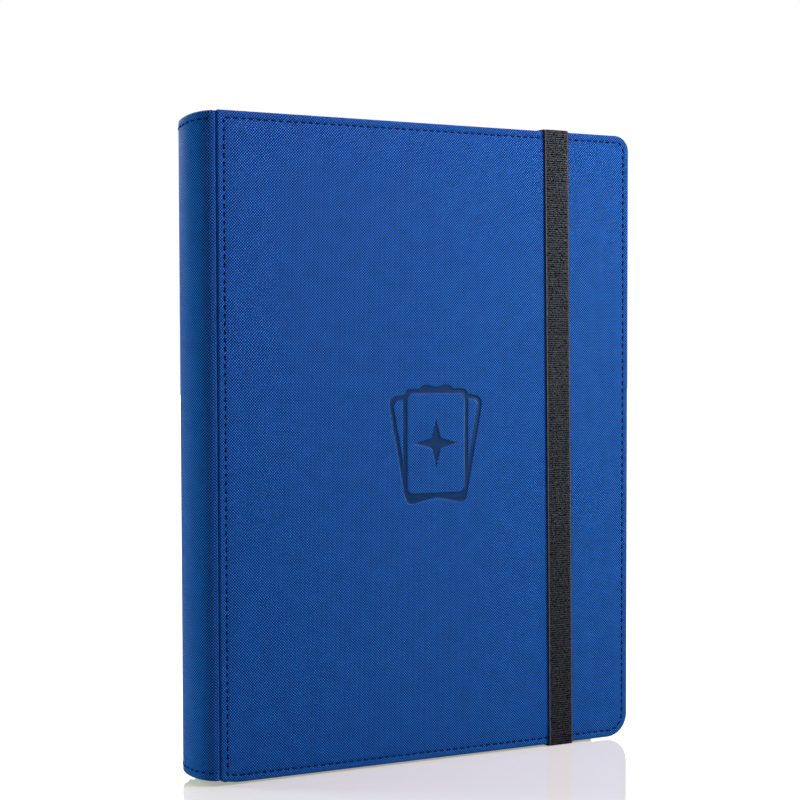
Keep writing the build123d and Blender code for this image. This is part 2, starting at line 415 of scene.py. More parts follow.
@dataclass(frozen=True)
class WovenElastic(Finish):
    """Knitted elastic tape: short cross ribs over rubber cores, with small loops of dull black yarn, painted
    shade in the gaps between them and a painted highlight along the selvedges.
    """

    # A painted shade for the gaps between ribs and loops.
    shade: str = "#040404"
    # A painted highlight colour, laid along the selvedges.
    highlight: str = "#565655"
    rib_pitch: float = 1.2
    loop_pitch: float = 0.9
    wander: float = 7.0
    relief: float = 0.2

    def make(self) -> bpy.types.Material:
        """Make the yarn: cross ribs as |sin| along the tape, broken by noise of one loop's size.

        Returns:
            The material.
        """
        tree, shader, material = self.start()
        flat = add_node(tree, "UVMap", uv_map="UVMap").outputs[0]
        loops = add_node(
            tree,
            "TexNoise",
            {"Vector": flat, "Scale": 1 / (self.loop_pitch * MM), "Detail": 3.0, "Roughness": 0.6},
        ).outputs["Fac"]
        turns = math.pi / (self.rib_pitch * MM)
        along = add_node(tree, "Mapping", {"Vector": flat, "Scale": (1.0, turns, 1.0)}).outputs[0]
        along = add_node(tree, "SeparateXYZ", {0: along}).outputs[1]
        wander = add_node(tree, "Math", {0: loops, 1: self.wander}, operation="MULTIPLY").outputs[0]
        along = add_node(tree, "Math", {0: along, 1: wander}, operation="ADD").outputs[0]
        ribs = add_node(tree, "Math", {0: along}, operation="SINE").outputs[0]
        ribs = add_node(tree, "Math", {0: ribs}, operation="ABSOLUTE").outputs[0]
        yarn = add_node(tree, "Math", {0: ribs, 1: loops}, operation="MULTIPLY").outputs[0]
        share = add_node(tree, "MapRange", {"Value": yarn, "From Min": 0.2, "From Max": 0.55}).outputs[0]
        gloss = add_node(tree, "MapRange", {"Value": share, "To Max": 2.0 * self.specular}).outputs[0]
        tree.links.new(gloss, shader.inputs["Specular IOR Level"])
        # The gaps between ribs and loops take a painted shade, the yarn's crowns the main colour.
        colour = add_node(
            tree, "Mix", {"Factor": share, 6: linear(self.shade), 7: linear(self.colour)}, data_type="RGBA"
        ).outputs[2]
        # The selvedges are painted lighter as a painted highlight; the strap carries that share in the
        # pressed attribute.
        selvedge = add_node(tree, "Attribute", attribute_name="pressed").outputs["Fac"]
        colour = add_node(
            tree, "Mix", {"Factor": selvedge, 6: colour, 7: linear(self.highlight)}, data_type="RGBA"
        ).outputs[2]
        tree.links.new(colour, shader.inputs["Base Color"])
        bump = add_node(tree, "Bump", {"Distance": self.relief * MM, "Height": yarn}).outputs[0]
        tree.links.new(bump, shader.inputs["Normal"])
        return material


@dataclass(frozen=True)
class MouldedFilm(Finish):
    """Calendered or moulded plastic: a flat colour with a faint rolled grain in its gloss."""

    grain_size: float = 1.2
    relief: float = 0.02
    transmission: float = 0.0
    gloss_spread: float = 0.08

    def make(self) -> bpy.types.Material:
        """Make the grain: noise of the grain's size, in the gloss and as low relief.

        Returns:
            The material.
        """
        tree, shader, material = self.start()
        shader.inputs["Transmission Weight"].default_value = self.transmission
        place = add_node(tree, "TexCoord").outputs["Object"]
        grain = add_node(
            tree, "TexNoise", {"Vector": place, "Scale": 1 / (self.grain_size * MM), "Detail": 2.0}
        ).outputs["Fac"]
        rough = add_node(
            tree,
            "MapRange",
            {"Value": grain, "To Min": self.roughness, "To Max": self.roughness + self.gloss_spread},
        ).outputs[0]
        tree.links.new(rough, shader.inputs["Roughness"])
        bump = add_node(tree, "Bump", {"Distance": self.relief * MM, "Height": grain}).outputs[0]
        tree.links.new(bump, shader.inputs["Normal"])
        return material


@dataclass
class Finishes:
    """Every finish of the binder, made once and shared."""

    cover: bpy.types.Material = field(init=False)
    thread: bpy.types.Material = field(init=False)
    lining: bpy.types.Material = field(init=False)
    elastic: bpy.types.Material = field(init=False)
    board: bpy.types.Material = field(init=False)
    foam: bpy.types.Material = field(init=False)
    sheet: bpy.types.Material = field(init=False)
    film: bpy.types.Material = field(init=False)
    binding: bpy.types.Material = field(init=False)

    def __post_init__(self) -> None:
        """Make the materials."""
        # Woven polyester, piece-dyed: deep blue, dull, with a checker of fine crowns painted bright and
        # painted shade between them.
        self.cover = WovenPolyester(
            "woven_polyester", "#0a6ab2", 0.36, specular=0.36, gloss_tint="#b4c8ff", shaded_valley="#02285f"
        ).make()
        # Spun polyester sewing thread, darker than the cloth: partly its own navy and partly painted shade of
        # the seam's dip.
        self.thread = Fibrous(
            "spun_polyester_thread",
            "#08285c",
            0.75,
            0.05,
            shade="#031530",
            fibre_width=0.25,
            fibre_length=0.25,
        ).make()
        # Brushed nylon lining: near black, with a soft nap that greys at a glance.
        self.lining = Fibrous(
            "brushed_nylon_lining",
            "#2b2c31",
            0.85,
            0.2,
            0.15,
            shade="#17181b",
            fibre_width=0.4,
            fibre_length=1.6,
        ).make()
        # Knitted elastic tape: dull black yarn with a soft grey shine on its ribs, painted shade in the gaps
        # between them and a painted highlight along its selvedges.
        self.elastic = WovenElastic("knitted_elastic_tape", "#242423", 0.42, specular=0.16).make()
        # Grey board, pressed from waste paper: pale, fibrous and fully dull.
        self.board = Fibrous(
            "pressed_grey_board", "#8a7f6d", 0.95, 0.2, shade="#6d6455", fibre_width=0.6, fibre_length=2.5
        ).make()
        # Closed-cell foam sheet, sliced: dark and dull, with a fine open grain.
        self.foam = Fibrous(
            "sliced_cell_foam", "#2b2b2d", 0.95, 0.1, shade="#151517", fibre_width=0.5, fibre_length=0.5
        ).make()
        # Polypropylene sheet, calendered: black with a satin face.
        self.sheet = MouldedFilm("calendered_polypropylene_sheet", "#222429", 0.42).make()
        # Polypropylene film, cast: clear, glossy and a little wavy.
        self.film = MouldedFilm(
            "cast_clear_film",
            "#f4f7f8",
            0.06,
            grain_size=14.0,
            relief=0.25,
            transmission=1.0,
            gloss_spread=0.05,
        ).make()
        # Welded page margins: black plastic, pressed flat and matt.
        self.binding = MouldedFilm("welded_matt_plastic", "#131417", 0.55, grain_size=0.8).make()


@dataclass(frozen=True)
class Outline:
    """A cover's outline, with two large corners at the free edge and two small ones at the spine."""

    left: float
    right: float
    base: float
    top: float
    top_radius: float = 8.6
    base_radius: float = 12.8
    spine_radius: float = 1.5
    panel_inset: float = 14.0
    run_points: int = 3
    arc_points: int = 9

    def corner(self, inset: np.ndarray, x_sign: int, z_sign: int) -> np.ndarray:
        """Work out one corner at several insets, from the level edge to the upright one.

        The corner is a level run, a quarter circle and an upright run. The circle's radius is the corner's
        own less the inset, and never below 0, so that the whole corner shrinks to the panel's own corner.

        Args:
            inset: k distances in from the edge.
            x_sign: -1 at the spine and 1 at the free edge.
            z_sign: -1 at the base and 1 at the top.

        Returns:
            k by n by 2 places, without the two ends that belong to the panel's lines.
        """
        side = self.right if x_sign > 0 else self.left
        level = self.top if z_sign > 0 else self.base
        free_radius = self.top_radius if z_sign > 0 else self.base_radius
        radius = np.maximum((free_radius if x_sign > 0 else self.spine_radius) - inset, 0.0)[:, None]
        inset = inset[:, None]
        middle_x = side - x_sign * (inset + radius)
        middle_z = level - z_sign * (inset + radius)
        angle = np.linspace(0, math.pi / 2, self.arc_points)
        arc_x = middle_x + x_sign * radius * np.sin(angle)
        arc_z = middle_z + z_sign * radius * np.cos(angle)
        share = np.linspace(0, 1, self.run_points + 1)[1:-1]
        panel_x = side - x_sign * self.panel_inset
        panel_z = level - z_sign * self.panel_inset
        run_x = panel_x + share * (middle_x - panel_x)
        run_z = middle_z + share * (panel_z - middle_z)
        edge_z = np.broadcast_to(level - z_sign * inset, run_x.shape)
        edge_x = np.broadcast_to(side - x_sign * inset, run_z.shape)
        places_x = np.concatenate([run_x, arc_x, edge_x], axis=1)
        places_z = np.concatenate([edge_z, arc_z, run_z], axis=1)
        return np.stack([places_x, places_z], axis=-1)

    def loop(self, inset: np.ndarray, columns: np.ndarray, rows: np.ndarray) -> np.ndarray:
        """Walk round the outline at several insets, through the panel's own grid lines.

        Args:
            inset: k distances in from the edge; below 0 is outside it.
            columns: the x of the panel's upright lines, from its left edge to its right.
            rows: the z of the panel's level lines, from its base to its top.

        Returns:
            k by n by 2 places, in x and z, starting along the base.
        """
        inset = np.asarray(inset, float)
        count = len(inset)

        def run(x: np.ndarray, z: np.ndarray) -> np.ndarray:
            """Pair the x and z of one straight side at every inset."""
            shape = (count, max(x.shape[-1], z.shape[-1]))
            return np.stack([np.broadcast_to(x, shape), np.broadcast_to(z, shape)], axis=-1)

        step = inset[:, None]
        return np.concatenate(
            [
                run(columns, self.base + step),
                self.corner(inset, 1, -1),
                run(self.right - step, rows),
                self.corner(inset, 1, 1)[:, ::-1],
                run(columns[::-1], self.top - step),
                self.corner(inset, -1, 1),
                run(self.left + step, rows[::-1]),
                self.corner(inset, -1, -1)[:, ::-1],
            ],
            axis=1,
        )


@dataclass(frozen=True)
class CardMark:
    """The debossed mark: three blank cards in a fan, with a four-pointed star on the middle one."""

    centre_x: float
    centre_z: float
    card_width: float = 40.0
    card_height: float = 58.0
    line: float = 2.6
    corner_radius: float = 4.5
    fan_angle: float = 11.0
    pivot_drop: float = 22.0
    star_point: float = 13.0
    star_waist: float = 4.0
    depth: float = 0.42
    edge: float = 0.45

    def card(self, x: np.ndarray, z: np.ndarray, turn: float, inset: float) -> np.ndarray:
        """Measure how far inside a turned card each place is.

        The distance to a rounded rectangle is the length of what sticks out past its inner rectangle, plus
        the deepest side's distance, less the corner radius.

        Args:
            x: places across, from the mark's middle.
            z: places up, from the mark's middle.
            turn: the card's turn in degrees, about a pivot below the middle.
            inset: how far the card is drawn in.

        Returns:
            Millimetres inside the card's edge, below 0 outside it.
        """
        angle = math.radians(turn)
        up = z + self.pivot_drop
        across = x * math.cos(angle) + up * math.sin(angle)
        up = -x * math.sin(angle) + up * math.cos(angle) - self.pivot_drop
        radius = self.corner_radius - inset / 2
        side = np.abs(across) - (self.card_width / 2 - inset - radius)
        level = np.abs(up) - (self.card_height / 2 - inset - radius)
        outside = np.hypot(np.maximum(side, 0), np.maximum(level, 0))
        return radius - outside - np.minimum(np.maximum(side, level), 0)

    def star(self, x: np.ndarray, z: np.ndarray) -> np.ndarray:
        """Measure how far inside the star each place is, folded into an eighth from point to waist."""
        long, short = np.maximum(np.abs(x), np.abs(z)), np.minimum(np.abs(x), np.abs(z))
        waist = self.star_waist / math.sqrt(2)
        run, rise = self.star_point - waist, waist
        return ((self.star_point - long) * rise - short * run) / math.hypot(run, rise)

    def inside(self, x: np.ndarray, z: np.ndarray) -> np.ndarray:
        """Measure how far inside the mark's lines each place is; each card clears what lies behind it."""
        x, z = x - self.centre_x, z - self.centre_z
        result = np.full(np.broadcast(x, z).shape, -1e3)
        for turn in (self.fan_angle, -self.fan_angle, 0.0):
            result = np.maximum(result, self.card(x, z, turn, 0.0))
            result = np.minimum(result, -self.card(x, z, turn, self.line))
        return np.maximum(result, self.star(x, z))

    def press(self, x: np.ndarray, z: np.ndarray) -> tuple[np.ndarray, np.ndarray]:
        """Press the mark into a face.

        Args:
            x: places across the cover.
            z: places up the cover.

        Returns:
            The depth in millimetres, with a soft wall either side of the line, and the pressed share, 0 to 1.
        """
        inside = self.inside(x, z)
        depth = self.depth * smooth(-self.edge, self.edge, inside)
        return depth, smooth(-0.25, 0.2, inside)


@dataclass(frozen=True)
class Seam:
    """A row of lockstitches: short thread arches that rise from the cloth and dip back into it."""

    pitch: float = 4.2
    length: float = 3.2
    thickness: float = 0.8
    rise: float = 0.22
    rings: int = 7
    sides: int = 6
    seed: int = 4

    def sew(self, skin: Skin, path: np.ndarray, outward: np.ndarray) -> None:
        """Lay evenly spaced stitches along a line.

        Each stitch is a tube whose radius falls to 0 at both ends as the square root of 1 - t^6, and whose
        middle line is an arch that falls as t^4, with t from -1 to 1 along it.

        Args:
            skin: the mesh that the stitches join.
            path: n by 3 places along the line, in millimetres.
            outward: n by 3 directions out of the cloth.
        """
        steps = np.linalg.norm(np.diff(path, axis=0), axis=1)
        travel = np.concatenate([[0.0], np.cumsum(steps)])
        count = max(1, round(travel[-1] / self.pitch))
        middles = (np.arange(count) + 0.5) * travel[-1] / count

        def at(distance: np.ndarray, values: np.ndarray) -> np.ndarray:
            """Read values along the line at given distances."""
            return np.stack([np.interp(distance, travel, values[:, axis]) for axis in range(3)], axis=-1)

        centre = at(middles, path)
        run = at(middles + 0.4 * self.length, path) - at(middles - 0.4 * self.length, path)
        run /= np.linalg.norm(run, axis=1, keepdims=True)
        up = at(middles, outward)
        up -= run * np.sum(up * run, axis=1, keepdims=True)
        up /= np.linalg.norm(up, axis=1, keepdims=True)
        across = np.cross(run, up)
        # Tension varies a little from stitch to stitch, so each is turned and shortened by its own share.
        random = np.random.default_rng(self.seed)
        lean = random.uniform(-0.05, 0.05, count)[:, None]
        reach = random.uniform(0.93, 1.03, count)[:, None, None]
        run, across = run + across * lean, across - run * lean

        share = np.linspace(-1, 1, self.rings)
        radius = self.thickness / 2 * np.sqrt(np.maximum(1 - np.abs(share) ** 6, 0))
        angle = np.arange(self.sides) / self.sides * 2 * math.pi
        along = np.repeat((share * self.length / 2)[:, None], self.sides, axis=1)
        arch = self.rise - (self.rise + self.thickness / 2) * share[:, None] ** 4
        high = arch + radius[:, None] * np.cos(angle)
        wide = radius[:, None] * np.sin(angle)
        points = (
            centre[:, None, None, :]
            + run[:, None, None, :] * (along[None] * reach)[..., None]
            + up[:, None, None, :] * high[None, ..., None]
            + across[:, None, None, :] * wide[None, ..., None]
        )
        for stitch in points:
            skin.add_grid(stitch, wrap=True)


@dataclass
class Cover:
    """One cover: a padded fabric shell turned over a board, a lining, and the seam round them."""

    side: Side
    finishes: Finishes
    mark: CardMark | None = None
    thickness: float = 4.0
    wall: float = 0.9
    edge_width: float = 1.1
    edge_depth: float = 1.5
    turn_depth: float = 3.45
    rim_drop: float = 0.2
    seam_inset: float = 3.9
    seam_dip: float = 0.3
    seam_width: float = 0.75
    lining_inset: float = 0.8
    lining_edge: float = 0.8
    lining_dip_share: float = 0.35
    mark_reach: tuple[float, float] = (34.0, 36.0)
    mark_step: float = 0.4
    corner_lift: float = 1.3
    lift_reach: float = 11.0

    def __post_init__(self) -> None:
        """Read the cover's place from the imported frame."""
        self.name = "front_cover" if self.side is Side.FRONT else "back_cover"
        low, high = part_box(f"{self.name}_shell")
        self.low, self.high = np.array(low) / MM, np.array(high) / MM
        self.face = abs(self.low[1]) if self.side is Side.FRONT else abs(self.high[1])
        self.outline = Outline(self.low[0], self.high[0], self.low[2], self.high[2])
        inset = self.outline.panel_inset
        self.columns = self.lines(self.low[0] + inset, self.high[0] - inset, 0)
        self.rows = self.lines(self.low[2] + inset, self.high[2] - inset, 1)

    def lines(self, start: float, end: float, axis: int) -> np.ndarray:
        """Space the panel's lines 5 mm apart, and close together where the mark is."""
        if self.mark is None:
            return graded((start, 5.0), (end, 0.0))
        middle = (self.mark.centre_x, self.mark.centre_z)[axis]
        reach = self.mark_reach[axis]
        return graded((start, 5.0), (middle - reach, self.mark_step), (middle + reach, 5.0), (end, 0.0))

    def lattice(self, step: float) -> tuple[np.ndarray, np.ndarray]:
        """Space the upright and the level lines of a plain panel by at most one step."""
        inset = self.outline.panel_inset
        columns = graded((self.low[0] + inset, step), (self.high[0] - inset, 0.0))
        return columns, graded((self.low[2] + inset, step), (self.high[2] - inset, 0.0))

    def place(self, flat: np.ndarray, depth: np.ndarray) -> np.ndarray:
        """Turn places in x and z, and depths in from the outer face, into points.

        The lower corner at the spine is drawn up where the cloth is gathered into the hinge: its lift fades
        as a smooth step both across the cover and up it.
        """
        depth = np.broadcast_to(depth, flat.shape[:-1])
        beside = 1 - smooth(0.0, self.lift_reach, flat[..., 0] - self.low[0])
        above = 1 - smooth(0.0, 2 * self.lift_reach, flat[..., 1] - self.low[2])
        height = flat[..., 1] + self.corner_lift * beside * above
        return np.stack([flat[..., 0], self.side.value * (self.face - depth), height], axis=-1)

    def dip(self, inset: np.ndarray) -> np.ndarray:
        """Draw the thread's pull: the rim lies lower than the padded panel, and lowest at the seam."""
        pad = 1 - smooth(self.seam_inset + 0.8, self.seam_inset + 6.0, inset)
        pull = np.exp(-(((inset - self.seam_inset) / self.seam_width) ** 2))
        return self.rim_drop * pad + self.seam_dip * pull

    def shell_rim(self) -> tuple[np.ndarray, np.ndarray]:
        """Draw the shell's edge: up the board's side, round two quarter ellipses and over the face.

        Returns:
            The inset and the depth of each point, from the inner wall to the panel.
        """
        turn = np.linspace(math.pi / 2, 0, 6)
        inner_inset = self.wall * (1 - np.cos(turn))
        inner_depth = self.turn_depth - self.wall * (1 - np.sin(turn))
        turn = np.linspace(0, math.pi / 2, 9)
        start_depth = self.dip(np.array(self.edge_width))
        outer_inset = self.edge_width * (1 - np.cos(turn))
        outer_depth = start_depth + self.edge_depth * (1 - np.sin(turn))
        face_inset = graded((self.edge_width, 0.45), (8.0, 0.9), (self.outline.panel_inset, 0.0))[1:]
        inset = np.concatenate([[self.wall], inner_inset, outer_inset, face_inset])
        depth = np.concatenate([[self.wall + 0.05], inner_depth, outer_depth, self.dip(face_inset)])
        return inset, depth

    def lining_rim(self) -> tuple[np.ndarray, np.ndarray]:
        """Draw the lining's edge: a quarter ellipse up from under the fabric, and then the face.

        Returns:
            The inset and the depth of each point, from the hidden side to the panel.
        """
        turn = np.linspace(0, math.pi / 2, 6)
        edge_inset = self.lining_inset + self.lining_edge * (1 - np.cos(turn))
        start = self.lining_inset + self.lining_edge
        face_inset = graded((start, 0.5), (8.0, 1.3), (self.outline.panel_inset, 0.0))[1:]
        start_depth = self.thickness - self.lining_dip_share * self.dip(edge_inset[-1:])
        low = self.turn_depth - 0.15
        edge_depth = low + (start_depth - low) * np.sin(turn)
        face_depth = self.thickness - self.lining_dip_share * self.dip(face_inset)
        depth = np.concatenate([edge_depth, face_depth])
        return np.concatenate([edge_inset, face_inset]), depth

    def wrap(self, inset: np.ndarray, depth: np.ndarray, columns: np.ndarray, rows: np.ndarray) -> Skin:
        """Carry a rim round the outline, and close its first loop with a flat face.

        The cloth's own flat coordinates follow the rim's length outwards from the panel.

        Args:
            inset: each rim point's distance in from the edge.
            depth: each rim point's distance in from the outer face.
            columns: the panel's upright lines.
            rows: the panel's level lines.

        Returns:
            The mesh so far, open at the panel.
        """
        steps = np.hypot(np.diff(inset), np.diff(depth))
        unrolled = inset[-1] - np.concatenate([np.cumsum(steps[::-1])[::-1], [0.0]])
        skin = Skin()
        points = self.place(self.outline.loop(inset, columns, rows), depth[:, None])
        skin.add_grid(points, self.outline.loop(unrolled, columns, rows), wrap=True)
        skin.add_end(points[0])
        return skin

    def make_shell(self) -> None:
        """Make the fabric shell, with the mark pressed into the front one."""
        skin = self.wrap(*self.shell_rim(), self.columns, self.rows)
        flat = np.stack(np.meshgrid(self.columns, self.rows), axis=-1)
        depth, pressed = np.zeros(flat.shape[:2]), np.zeros(flat.shape[:2])
        if self.mark is not None:
            depth, pressed = self.mark.press(flat[..., 0], flat[..., 1])
        skin.add_grid(self.place(flat, depth), flat, pressed=pressed)
        piece = skin.finish(f"{self.name}_fabric", self.finishes.cover)
        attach(piece, self.name)
        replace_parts(piece, f"{self.name}_shell")
        log.info("%s: fabric shell, %d faces", self.name, len(piece.data.polygons))

    def make_lining(self) -> None:
        """Make the inner cloth."""
        columns, rows = self.lattice(8.0)
        skin = self.wrap(*self.lining_rim(), columns, rows)
        flat = np.stack(np.meshgrid(columns, rows), axis=-1)
        skin.add_grid(self.place(flat, np.array(self.thickness)), flat)
        piece = skin.finish(f"{self.name}_inner_cloth", self.finishes.lining)
        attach(piece, self.name)
        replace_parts(piece, f"{self.name}_lining")
        log.info("%s: lining", self.name)

    def make_stitches(self) -> None:
        """Sew the seam, which shows on both faces."""
        columns, rows = self.lattice(10.0)
        flat = self.outline.loop(np.array([self.seam_inset]), columns, rows)[0]
        flat = np.concatenate([flat, flat[:1]])
        dip = self.dip(np.array(self.seam_inset))
        skin = Skin()
        for depth, facing in ((dip, 1), (self.thickness - self.lining_dip_share * dip, -1)):
            outward = np.tile([0.0, self.side.value * facing, 0.0], (len(flat), 1))
            Seam().sew(skin, self.place(flat, depth), outward)
        piece = skin.finish(f"{self.name}_stitches", self.finishes.thread, crease=180.0)
        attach(piece, self.name)
        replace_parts(piece, f"{self.name}_stitching")
        log.info("%s: seam", self.name)

    def dress_core(self) -> None:
        """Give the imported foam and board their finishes."""
        for layer, material in (("foam", self.finishes.foam), ("board", self.finishes.board)):
            dress(f"{self.name}_{layer}", material)

    def build(self) -> None:
        """Make the whole cover."""
        self.make_shell()
        self.make_lining()
        self.make_stitches()
        self.dress_core()


def dress(node: str, material: bpy.types.Material) -> None:
    """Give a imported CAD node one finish."""
    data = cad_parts[node].data
    data.materials.clear()
    data.materials.append(material)


@dataclass
class Spine:
    """The rounded spine: fabric turned over a curved board's ends, a lining, end seams and the binding."""

    finishes: Finishes
    hinge_x: float = -121.0
    bulge: float = 10.0
    half_depth: float = 17.9
    edge_gap: float = 1.3
    wall: float = 0.9
    board: float = 1.6
    lining: float = 0.6
    base: float = 2.7
    base_rise: float = 0.9
    top: float = 338.6
    top_fall: float = 3.0
    dip_place: float = 0.6
    dip_width: float = 0.85
    end_round: float = 1.3
    flank_curl: float = 0.35
    seam_inset: float = 4.2
    seam_dip: float = 0.22
    stations: int = 61

    def __post_init__(self) -> None:
        """Place the stations across the spine, closer together near both grooves."""
        share = np.linspace(-1, 1, self.stations)
        self.share = np.sign(share) * (1 - (1 - np.abs(share)) ** 1.5)

    def ends(self, share: np.ndarray) -> tuple[np.ndarray, np.ndarray]:
        """Give the heights of the base and the top, which draw in as a bell curve past the spine's middle."""
        drop = np.exp(-(((share - self.dip_place) / self.dip_width) ** 2))
        return self.base + self.base_rise * drop, self.top - self.top_fall * drop

    def section(self, share: np.ndarray, offset: np.ndarray) -> tuple[np.ndarray, np.ndarray]:
        """Place points across the spine on nested ellipses that all end at the same distance from the hinge.

        Args:
            share: -1 at the front groove and 1 at the back one.
            offset: distance in from the outer surface.

        Returns:
            x and y.
        """
        reach = np.arccos(self.edge_gap / (self.bulge - offset))
        x = self.hinge_x - (self.bulge - offset) * np.cos(share * reach)
        return x, (self.half_depth - offset) * np.sin(share * reach)

    def loft(self, offset: np.ndarray, height: np.ndarray, lift: np.ndarray, curl: float = 0.0) -> Skin:
        """Carry a closed loop across the spine.

        A loop point's z is the base and the top mixed by its height, plus its lift. The outer part of the
        loop curls in beside the grooves by a quarter circle.

        Args:
            offset: each loop point's distance in from the outer surface.
            height: each loop point's height, 0 at the base and 1 at the top.
            lift: each loop point's distance above that.
            curl: how far the outer surface turns in at the grooves.

        Returns:
            The closed mesh.
        """
        share = self.share[:, None]
        near = np.clip((np.abs(share) - 0.93) / 0.07, 0, 1)
        total = self.wall + self.board + self.lining
        inward = curl * (1 - np.sqrt(1 - near**2)) * (1 - offset / total)
        x, y = self.section(share, offset + inward)
        base, top = self.ends(share)
        z = base + (top - base) * height + lift
        around = np.cumsum(np.hypot(np.diff(x[:, 0]), np.diff(y[:, 0])))
        around = np.concatenate([[0.0], around])[:, None] + offset * 0
        loop_length = np.concatenate([[0.0], np.cumsum(np.abs(np.diff(offset)))])
        skin = Skin()
        flat = np.stack([around, z + loop_length * (lift == 0)], axis=-1)
        skin.add_tube(np.stack([x, y, z], axis=-1), flat)
        return skin

    def make_shell(self) -> None:
        """Make the fabric: a face with two seam dips, turned in over both ends as a half ellipse."""
        reach = self.wall + self.board + self.lining
        half = reach / 2
        span = self.top - self.base - (self.top_fall + self.base_rise) / 2
        rise = graded((self.end_round, 0.45), (8.0, 12.0), (span - 8.0, 0.45), (span - self.end_round, 0.0))
        height = rise / span
        from_end = np.minimum(rise, span - rise)
        face = self.seam_dip * np.exp(-(((from_end - self.seam_inset) / 0.7) ** 2))
        turn = np.linspace(0, math.pi, 13)[1:]
        outer = half - half * np.cos(turn)
        outer_lift = self.end_round * (np.sin(turn) - 1)
        inner = (half - (half - self.wall * 0.7) * np.cos(turn))[::-1]
        inner_lift = (outer_lift - 0.8)[::-1]
        offset = np.concatenate([face, outer, inner, inner[::-1], outer[::-1]])
        tops = np.concatenate([outer_lift, inner_lift])
        lift = np.concatenate([np.zeros(len(rise)), tops, -tops[::-1]])
        level = np.concatenate([height, np.ones(len(tops)), np.zeros(len(tops))])
        piece = self.loft(offset, level, lift, self.flank_curl).finish("spine_fabric", self.finishes.cover)
        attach(piece, "spine")
        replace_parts(piece, "spine_shell")
        log.info("spine: fabric shell")

    def make_layer(self, outer: float, inner: float, margin: float, name: str) -> Skin:
        """Make a flat-ended layer between two offsets, with small chamfers on its edges."""
        soft = min(0.25, (inner - outer) / 3)
        outer_edge, inner_edge = outer + soft, inner - soft
        offset = np.array([outer_edge, outer, outer, outer_edge, inner_edge, inner, inner, inner_edge])
        height = np.array([0, 0, 1, 1, 1, 1, 0, 0], float)
        lift = np.array([0, soft, -soft, 0, 0, -soft, soft, 0]) + margin * (1 - 2 * height)
        log.info("spine: %s", name)
        return self.loft(offset, height, lift)

    def make_stitches(self) -> None:
        """Sew the seam inside each end, from groove to groove."""
        share = np.linspace(-0.92, 0.92, 121)
        x, y = self.section(share, np.array(self.seam_dip))
        run_x, run_y = np.gradient(x), np.gradient(y)
        outward = np.stack([-run_y, run_x, np.zeros_like(x)], axis=-1)
        outward /= np.linalg.norm(outward, axis=1, keepdims=True)
        base, top = self.ends(share)
        skin = Skin()
        for z in (base + self.seam_inset, top - self.seam_inset):
            Seam().sew(skin, np.stack([x, y, z], axis=-1), outward)
        piece = skin.finish("spine_stitches", self.finishes.thread, crease=180.0)
        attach(piece, "spine")
        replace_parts(piece, "spine_stitching")
        log.info("spine: seams")

    def make_binding(self) -> None:
        """Make the bar of welded page margins: a scalloped face, one ridge to a page, on a rounded back."""
        low, high = (np.array(corner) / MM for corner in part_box("page_binding"))
        angle = np.linspace(-math.pi / 2, math.pi / 2, 25)
        half = high[1]
        back_x = self.hinge_x - (self.bulge - self.wall - self.board - self.lining) * np.cos(angle)
        back_y = -half * np.sin(angle)
        face_y = np.linspace(-half, half, PAGE_COUNT * 8 + 1)[1:-1]
        ridge = np.abs(np.sin(math.pi * face_y / (2 * half) * PAGE_COUNT))
        face_x = high[0] - 0.45 * (1 - np.sqrt(ridge))
        plan = np.stack([np.concatenate([back_x, face_x]), np.concatenate([back_y, face_y])], axis=-1)
        # The ends draw in by a rounded half millimetre.
        rise = np.array([0.0, 0.15, 0.5, 1.0])
        z = np.concatenate([low[2] + rise, (high[2] - rise)[::-1]])
        draw = np.concatenate([0.5 - np.sqrt(np.clip(rise, 0, 1) * 0.25), np.zeros(4)])
        draw[4:] = draw[:4][::-1]
        middle = np.array([(low[0] + high[0]) / 2, 0.0])
        scale = 1 - draw[:, None, None] / 13
        flat = middle + (plan - middle) * scale
        points = np.concatenate([flat, np.broadcast_to(z[:, None, None], flat.shape[:2] + (1,))], axis=-1)
        skin = Skin()
        skin.add_tube(points)
        piece = skin.finish("page_binding_bar", self.finishes.binding)
        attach(piece, "spine")
        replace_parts(piece, "page_binding")
        log.info("spine: page binding")

    def build(self) -> None:
        """Make the whole spine."""
        self.make_shell()
        board_depth = self.wall + self.board
        board = self.make_layer(self.wall + 0.05, board_depth, 2.4, "board")
        piece = board.finish("spine_curved_board", self.finishes.board)
        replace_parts(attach(piece, "spine"), "spine_board")
        lining = self.make_layer(board_depth, board_depth + self.lining + 0.15, 1.7, "lining")
        piece = lining.finish("spine_inner_cloth", self.finishes.lining)
        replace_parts(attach(piece, "spine"), "spine_lining")
        self.make_stitches()
        self.make_binding()


